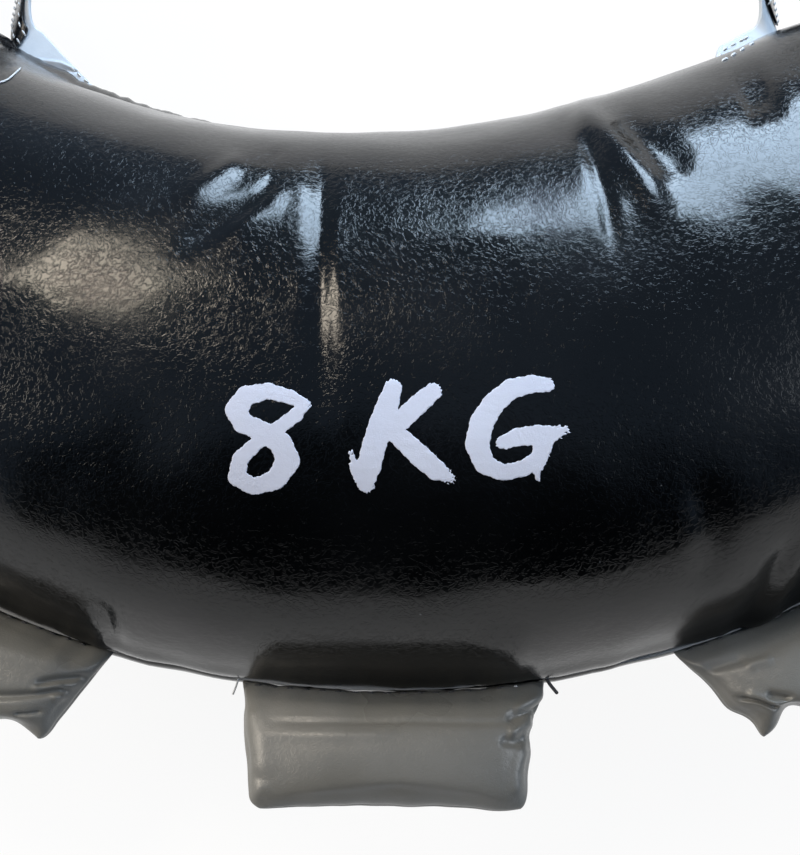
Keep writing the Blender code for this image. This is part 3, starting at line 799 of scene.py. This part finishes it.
def sew(name, places, thread, body, length=STITCH_LENGTH, thick=STITCH_THICK):
    """Row of stitches; each place is a point, the way of the seam there and the way up."""
    bm = bmesh.new()
    for point, along, up in places:
        side = up.cross(along).normalized()
        way = side.cross(up).normalized()
        ways = (way * (length / 2), side * (thick / 2), up.normalized() * (thick / 2))
        turn = Matrix(ways).transposed().to_4x4()
        one = stitch.data.copy()
        one.transform(Matrix.Translation(point) @ turn)
        bm.from_mesh(one)
        bpy.data.meshes.remove(one)
    row = keep_piece(bm, name)
    row.data.shade_smooth()
    row.data.materials.append(thread)
    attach(row, body)


def loose_thread(name, points, thick, thread, body):
    """Cut end of thread through the points, as a thin tube with closed ends."""
    curve = bpy.data.curves.new(name, "CURVE")
    curve.dimensions = "3D"
    curve.bevel_depth, curve.bevel_resolution, curve.resolution_u = thick / 2, 2, 8
    curve.use_fill_caps = True
    line = curve.splines.new("NURBS")
    line.points.add(len(points) - 1)
    for made, point in zip(line.points, points):
        made.co = (*point, 1)
    line.order_u, line.use_endpoint_u = 3, True
    end = bpy.data.objects.new(name, curve)
    bpy.context.collection.objects.link(end)
    activate(end)
    bpy.ops.object.convert(target="MESH")
    end = bpy.context.object
    end.data.materials.append(thread)
    end.data.shade_smooth()
    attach(end, body)


def on_level(column, row, height):
    """Place at a height over the floor that shows at a place in the picture."""
    way = picture_ray(column, row)
    return camera.location + way * ((height - camera.location.z) / way.z)


def on_piece(piece, column, row, proud=0.0):
    """Place and normal of a piece that show at a place in the picture."""
    found, place, normal, _ = piece.ray_cast(camera.location, picture_ray(column, row))
    return (place + normal * proud, normal) if found else None


bpy.context.view_layer.update()
for side, place in FIN_PLACES:
    reach = FIN_ROOT / (1 + bag_size(place)[0] / MID_RADIUS) - 0.0025
    # the root stitches are drawn in dark thread as painted shade under the welt; only the last
    # stitches of the middle fin are pale
    places, ends = [], []
    for k in range(int(2 * reach / STITCH_STEP)):
        s = place - reach + STITCH_STEP * (k + 0.5)
        start = seam_point(s, bag_size(s)[0] + ROOT_OUT, ROOT_ABOVE)
        found, hit, normal, _ = fins[side].ray_cast(start, Vector((0, 0, -1)))
        if found:
            row = ends if side == "centre" and s > PAINTED_SHADE_UNTIL else places
            row.append((hit + normal * 0.0001, centre_line(s)[1], normal))
    sew(f"root_stitches_{side}", places, dark_thread, "bag")
    if ends:
        sew("root_stitches_end", ends, pale_thread, "bag", 0.0015)

welt_height = bag_size(0.0)[3]
# the thread's two cut ends: places in the picture, each with its height over the seam
for name, thick, thread, slot, way in (
    ("left", 0.0006, pale_thread, "strap_leather",
     ((241, 672, 0.001), (238, 680, 0.0015), (236, 687, 0.0), (233, 694, -0.003))),
    ("right", 0.0011, dark_thread, "black_leather",
     ((543, 672, 0.001), (547, 680, 0.002), (551, 686, 0.001), (557, 693, -0.002))),
):
    points = [on_level(column, row, welt_height + rise) for column, row, rise in way]
    loose_thread(f"thread_end_{name}", points, thick, thread, "bag")

# a short bar of four long stitches on the front of the right horn, above its strap's near end
places = []
for ax, ay, bx, by in (
    (721, 61.5, 729, 58), (730, 57, 737, 53), (738.5, 52, 746, 47.5), (747.5, 46.5, 756, 42),
):
    middle = on_piece(bag, (ax + bx) / 2, (ay + by) / 2, 0.0002)
    first, last = on_piece(bag, ax, ay), on_piece(bag, bx, by)
    if middle and first and last:
        places.append((middle[0], last[0] - first[0], middle[1]))
if places:
    sew("strap_bar_right", places, pale_thread, "bag", 0.0034, 0.0009)
# a pale thread laid along a fold on the front of the left horn: a painted highlight standing in
# for the light on that fold
highlight_streak = ((-3, 84), (5, 82), (11, 78), (16, 73), (20, 69.5))
line = [on_piece(bag, *place, 0.0003) for place in highlight_streak]
if all(line):
    loose_thread(
        "thread_line_left", [place for place, _ in line],
        0.0006, pale_thread, "bag",
    )


# Hand straps. A wide band of pale grey leather bows along the inner side of each horn, with a
# narrower black band stitched down its middle. Both ends are sewn into the inner seam.
STRAP_NEAR, STRAP_FAR = {-1: 0.152, 1: 0.180}, 0.352
STRAP_WIDTH, STRAP_ROOT_WIDTH, STRAP_TIP_WIDTH, STRAP_TIP = 0.036, 0.0125, 0.0025, 0.012
STRAP_THICK, STRAP_FACE_THICK, STRAP_FACE_SHARE = 0.002, 0.0016, 0.61
STRAP_CLEAR, STRAP_BOW = 0.0012, 0.009
STRAP_NEAR_SEWN, STRAP_FAR_SEWN, STRAP_LEAVING = {-1: 0.30, 1: 0.20}, 0.10, 0.26
STRAP_TAPER, STRAP_STATIONS, BAND_POINTS = 0.055, 80, 12
FACE_FIRST, FACE_LAST, STRAP_AHEAD = 30, -24, 0.004


def inner_edge(s):
    """Point of the bag's inner seam at a length along it, and the way in from there."""
    line = edge_line(s, -1)[0].normalized()
    return seam_point(s, -bag_size(s)[0]), Vector((-line.y, line.x, 0))


def strap_place(side, share):
    """Middle of the strap's band, the ways across and through it, and its width."""
    near = STRAP_NEAR[side]
    reach, end = STRAP_FAR - near, min(share, 1 - share)
    free = smooth(min(share - STRAP_NEAR_SEWN[side], 1 - share - STRAP_FAR_SEWN) / STRAP_LEAVING)
    rounding = 1 - min(end * reach / STRAP_TIP, 1)
    wide = STRAP_ROOT_WIDTH + (STRAP_WIDTH - STRAP_ROOT_WIDTH) * free
    wide = max(wide * sqrt(1 - rounding * rounding), STRAP_TIP_WIDTH)
    if side < 0:
        wide = max(wide * min(share * reach / STRAP_TAPER, 1), STRAP_TIP_WIDTH)
    roll = acos(min(STRAP_ROOT_WIDTH / wide, 1))
    edge, inward = inner_edge(side * (near + reach * share))
    first, last = inner_edge(side * near)[0], inner_edge(side * STRAP_FAR)[0]
    chord = (last - first) * side
    spanning = Vector((-chord.y, chord.x, 0)).normalized()
    edge = edge.lerp(first.lerp(last, share) + spanning * STRAP_BOW, free)
    inward = inward.lerp(spanning, free).normalized()
    across = inward * cos(roll) + Vector((0, 0, sin(roll)))
    through = Vector((0, 0, cos(roll))) - inward * sin(roll)
    clear = STRAP_CLEAR + wide / 2 * cos(roll) + STRAP_THICK * sin(roll)
    return edge + inward * clear, across, through, wide


def strap_run(side, first, last, part, inset, height):
    """Two rows of stitches between shares of the strap, a part of its width out, less an inset."""
    places = []
    for edge in (-1, 1):
        share = first
        while share < last:
            middle, across, through, wide = strap_place(side, share)
            after, turned, _, wide_after = strap_place(side, share + STRAP_AHEAD)
            here = middle + across * (edge * (wide / 2 * part - inset))
            wide = wide if inset else wide_after
            along = after + turned * (edge * (wide / 2 * part - inset)) - here
            places.append((here + through * height, along, through))
            share += STITCH_STEP * STRAP_AHEAD / along.length
    return places


def band(name, side, shares, low, high, breadth, seed):
    """Leather band along the strap, between two heights and with softened edges."""
    rows = []
    for share in shares:
        middle, across, through, wide = strap_place(side, share)
        half = wide / 2 * breadth
        ring = []
        for level, way in ((high, 1), (low, -1)):
            for k in range(BAND_POINTS + 1):
                a = half * way * (1 - 2 * k / BAND_POINTS)
                wave = 0.0003 * ripple(share * 22, a * 60, seed)
                ring.append(middle + across * a + through * (level + wave))
        rows.append(ring)
    poles = [sum(row, Vector()) / len(row) for row in (rows[0], rows[-1])]
    made = new_piece(name, rows, poles)
    refine(made, 2)
    for vertex, normal in [(v, v.normal.copy()) for v in made.data.vertices]:
        column, row = picture_place(vertex.co)
        if normal.z > 0 and -40 < column < 130 and row < 110:
            vertex.co += normal * (crease_depth(column, row, STRAP_CREASES) * MILLIMETRE)
    return made


# the turned hem and the sewn-on end of the left strap, given as the bag's folds are
STRAP_CREASES = (
    (((19, 67), (25, 62.5), (40, 60.5), (60, 63), (80, 71.5)), 0.55, 1.7),
    (((21, 70.5), (29, 67.5), (46, 66.3), (62, 68), (84, 73)), -0.75, 1.3),
    (((24, 74), (34, 70.5), (50, 70), (66, 72.5)), 0.45, 1.8),
    (((56, 70), (64, 77), (72, 84)), 0.35, 1.8),
    (((88, 80), (96, 85), (101, 91)), -0.4, 1.6),
)

strap_leather = leather(
    "strap_leather", (0.48, 0.525, 0.58, 1), (0.55, 0.60, 0.655, 1),
    rough=0.40, cell=0.0012, relief=0.4, wrinkle=0.25, gloss=0.45,
)
for name, side in SIDES:
    shares = [(1 - cos(pi * k / STRAP_STATIONS)) / 2 for k in range(STRAP_STATIONS + 1)]
    base = band(f"strap_band_{name}", side, shares, -STRAP_THICK / 2, STRAP_THICK / 2, 1.0, 1.0)
    base.data.materials.append(strap_leather)
    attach(base, f"{name}_strap")
    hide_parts(f"strap_base_{name}")
    low = STRAP_THICK / 2 + 0.0003
    high = low + STRAP_FACE_THICK
    middle_shares = shares[FACE_FIRST:FACE_LAST + 1]
    face = band(f"strap_middle_{name}", side, middle_shares, low, high, STRAP_FACE_SHARE, 1.0)
    face.data.materials.append(black_leather)
    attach(face, f"{name}_strap")
    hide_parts(f"strap_face_{name}")
    # two rows of pale stitches hold the black band on the grey one
    ends = (shares[FACE_FIRST] + 0.006, shares[FACE_LAST] - 0.006)
    places = strap_run(side, *ends, STRAP_FACE_SHARE, 0.0022, high + 0.0001)
    sew(f"strap_stitches_{name}", places, pale_thread, f"{name}_strap")
    # a box of stitches fixes each end of the band
    places = []
    for first, last in ((0.035, 0.150), (0.900, 0.972)):
        places += strap_run(side, first, last, 0.62, 0.0, STRAP_THICK / 2 + 0.0001)
    sew(f"strap_end_stitches_{name}", places, pale_thread, f"{name}_strap")


# Neck ties. A strip of black leather is drawn twice round each horn's neck and stitched, which
# gathers the ends of the panels round the grip's core.
TIE_WIDTH, TIE_THICK, TIE_GAP, TIE_RING, TIE_STITCHES = 0.012, 0.003, 0.0003, 72, 40
# two turns of the strip side by side: shares of the tie's width and thickness
TIE_PROFILE = (
    (0.0, 0.0), (0.0, 0.55), (0.10, 0.95), (0.30, 1.0), (0.44, 0.95), (0.50, 0.70),
    (0.56, 0.95), (0.70, 1.0), (0.90, 0.95), (1.0, 0.55), (1.0, 0.0),
)

for name, side in SIDES:
    rows = []
    for angle in circle(TIE_RING):
        pinch = 1 + 0.12 * ripple(cos(angle) * 3, sin(angle) * 3, side * 2.0)
        rows.append([
            skin_point(side * (HORN_END + TIE_WIDTH * x), angle, TIE_GAP + TIE_THICK * y * pinch)
            for x, y in TIE_PROFILE
        ])
    tie = new_piece(f"neck_binding_{name}", rows, closed=True)
    refine(tie, 1)
    tie.data.materials.append(black_leather)
    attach(tie, "bag")
    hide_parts(f"neck_tie_{name}")
    places = []
    for angle in circle(TIE_STITCHES, 0.5):
        for along in (0.2, 0.8):
            s = side * (HORN_END + TIE_WIDTH * along)
            here = skin_point(s, angle, 0.0004 + TIE_THICK)
            there = skin_point(s, angle + 0.05, 0.0004 + TIE_THICK)
            places.append((here, there - here, here - seam_point(s)))
    sew(f"binding_stitches_{name}", places, dark_thread, "bag", 0.0024, 0.0008)


# Grips. A foam roll on a stiff core carries a sleeve of grey leather with one long seam, and a
# domed black leather cap is sewn over its end.
GRIP_START = HORN_END + TIE_WIDTH + 0.0003
GRIP_LENGTH, GRIP_RADIUS, GRIP_WALL = 0.110, 0.0215, 0.0018
GRIP_RING, GRIP_STATIONS, GRIP_STITCHES, GRIP_SEAM = 64, 24, 28, 4.0

for name, side in SIDES:
    rows = []
    for share, radius in (
        (0.0, -GRIP_WALL), (0.0, -0.0012), (0.003, -0.0004), (0.02, 0.0004),
        *[(k / GRIP_STATIONS, 0.0011) for k in range(1, GRIP_STATIONS)],
        (0.98, 0.0004), (0.997, -0.0004), (1.0, -0.0012), (1.0, -GRIP_WALL),
    ):
        s = side * (GRIP_START + GRIP_LENGTH * share)
        rows.append([])
        for angle in circle(GRIP_RING):
            lump = ripple(share * 9, cos(angle) * 2, sin(angle) * 2 + side)
            groove = 0.0007 * exp(-((angle - GRIP_SEAM) / 0.05) ** 2)
            reach = GRIP_RADIUS + radius + 0.00045 * lump - groove
            rows[-1].append(seam_point(s, reach * cos(angle), reach * sin(angle)))
    sleeve = new_piece(f"grip_leather_{name}", rows)
    refine(sleeve, 1)
    sleeve.data.materials.append(grey_leather)
    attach(sleeve, "bag")
    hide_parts(f"grip_sleeve_{name}")
    places = []
    for beside in (-0.10, 0.10):
        for k in range(GRIP_STITCHES):
            s = side * (GRIP_START + GRIP_LENGTH * (0.03 + 0.94 * k / (GRIP_STITCHES - 1)))
            _, along, outward = centre_line(s)
            up = outward * cos(GRIP_SEAM + beside) + Vector((0, 0, sin(GRIP_SEAM + beside)))
            places.append((seam_point(s) + up * (GRIP_RADIUS + 0.0012), along, up))
    sew(f"grip_stitches_{name}", places, dark_thread, "bag")
    cap = bpy.data.objects[f"grip_cap_{name}"]
    cap.data.materials.clear()
    cap.data.materials.append(black_leather)


# Inside. The leather is lined with plain cloth; wadding rounds it out over five canvas sacks of
# sand, and foam fills the fins and grips. None of it shows on a finished bag.
def woven(name, colour, thread, depth):
    """Plain weave, or matted fibres where the thread is coarse."""
    made, tree, shader, place = plain_material(name)
    given = {"Vector": place, "Scale": 0.16 / thread, "Distortion": 0.8}
    warp, weft = (node(tree, "TexWave", given, "Fac", bands_direction=way) for way in "XY")
    weave = math_node(tree, "MULTIPLY", warp, weft)
    fuzz = noise_node(tree, place, 0.5 / thread, 4.0)
    deep = tuple(part * 0.72 for part in colour)
    fill(shader, {
        "Base Color": mix_node(tree, fuzz, (*deep, 1), (*colour, 1)),
        "Roughness": 0.95,
        "Normal": bump_node(tree, math_node(tree, "ADD", weave, fuzz), depth, 0.8),
    })
    return made


inner_finishes = {
    "liner": woven("liner_cloth", (0.55, 0.53, 0.48), 0.0006, 0.0002),
    "wadding": woven("wadding", (0.70, 0.68, 0.62), 0.0030, 0.0015),
    "sand_sack": woven("sack_canvas", (0.34, 0.28, 0.19), 0.0010, 0.0004),
    "grip_core": woven("core_foam", (0.72, 0.66, 0.42), 0.0016, 0.0004),
}
for piece in bpy.data.objects:
    for start, finish in inner_finishes.items():
        if piece.type == "MESH" and piece.name.startswith(start):
            piece.data.materials.clear()
            piece.data.materials.append(finish)
bpy.data.objects.remove(stitch)


# Floor and light. A wide pale matt floor in a dim room, one cool window low behind the bag and
# to its right, one small warm lamp high on the left, and a soft lamp on each side for the fins.
FLOOR_SIZE, FLOOR_PALE, FLOOR_DIM, FLOOR_GLOW = 60, 0.90, 0.03, 0.92
ROOM_STRENGTH, ROOM_COLOUR = 0.42, (0.52, 0.71, 1.0, 1)
LAMP_AIM = Vector((0, -0.11, 0.12))

bpy.ops.mesh.primitive_plane_add(size=FLOOR_SIZE, location=(0, 0, 0))
floor = bpy.context.object
floor.name = "floor"
floor_material, tree, shader, place = plain_material("pale_floor")
rays = tree.nodes.new("ShaderNodeLightPath").outputs
seen = math_node(tree, "MAXIMUM", rays["Is Camera Ray"], rays["Is Transmission Ray"])
seen = math_node(tree, "MAXIMUM", seen, rays["Is Glossy Ray"])
tone = mix_node(tree, seen, (*[FLOOR_DIM] * 3, 1), (*[FLOOR_PALE] * 3, 1))
fill(shader, {"Base Color": tone, "Roughness": 0.9, "Specular IOR Level": 0.1})
glow = {
    0: math_node(tree, "MULTIPLY", seen, FLOOR_GLOW),
    1: shader.outputs[0],
    2: node(tree, "Emission", {}),
}
fill(tree.nodes["Material Output"], {"Surface": node(tree, "MixShader", glow)})
floor.data.materials.append(floor_material)

world = bpy.context.scene.world or bpy.data.worlds.new("room")
bpy.context.scene.world = world
world.use_nodes = True
tree = world.node_tree
way = node(tree, "TexCoord", {}, "Generated")
across, back = (node(tree, "SeparateXYZ", {0: way}, axis) for axis in "XY")
# the room is dark on the viewer's side
beside = math_node(tree, "MULTIPLY", math_node(tree, "ABSOLUTE", across), 0.75)
behind = math_node(tree, "ADD", back, beside)
fill(tree.nodes["Background"], {
    "Strength": ramp_node(tree, behind, -0.30, -0.06, 0.0, ROOM_STRENGTH), "Color": ROOM_COLOUR,
})


def lamp(name, bearing, height, distance, width, depth, power, colour):
    """Soft lamp at a bearing to the right of straight behind the bag, aimed at its middle."""
    bearing, height = radians(bearing), radians(height)
    flat = cos(height)
    way = Vector((sin(bearing) * flat, cos(bearing) * flat, sin(height)))
    bpy.ops.object.light_add(type="AREA", location=LAMP_AIM + way * distance)
    made = bpy.context.object
    made.name = name
    made.rotation_mode = "QUATERNION"
    made.rotation_quaternion = way.to_track_quat("Z", "Y")
    made.data.shape = "RECTANGLE"
    made.data.size, made.data.size_y = width, depth
    made.data.energy = power
    made.data.color = colour


lamp("cool_window", 18, 27, 1.8, 0.76, 1.06, 49, (0.62, 0.80, 1.0))
lamp("warm_lamp", -44, 59, 1.6, 0.44, 0.30, 7.2, (1.0, 0.88, 0.72))
lamp("warm_side", -88, 32, 1.8, 1.2, 0.8, 29, (1.0, 0.90, 0.76))
lamp("cool_side", 88, 30, 1.8, 1.2, 0.8, 13, (0.90, 0.95, 1.0))
bpy.context.scene.view_settings.view_transform = "Standard"
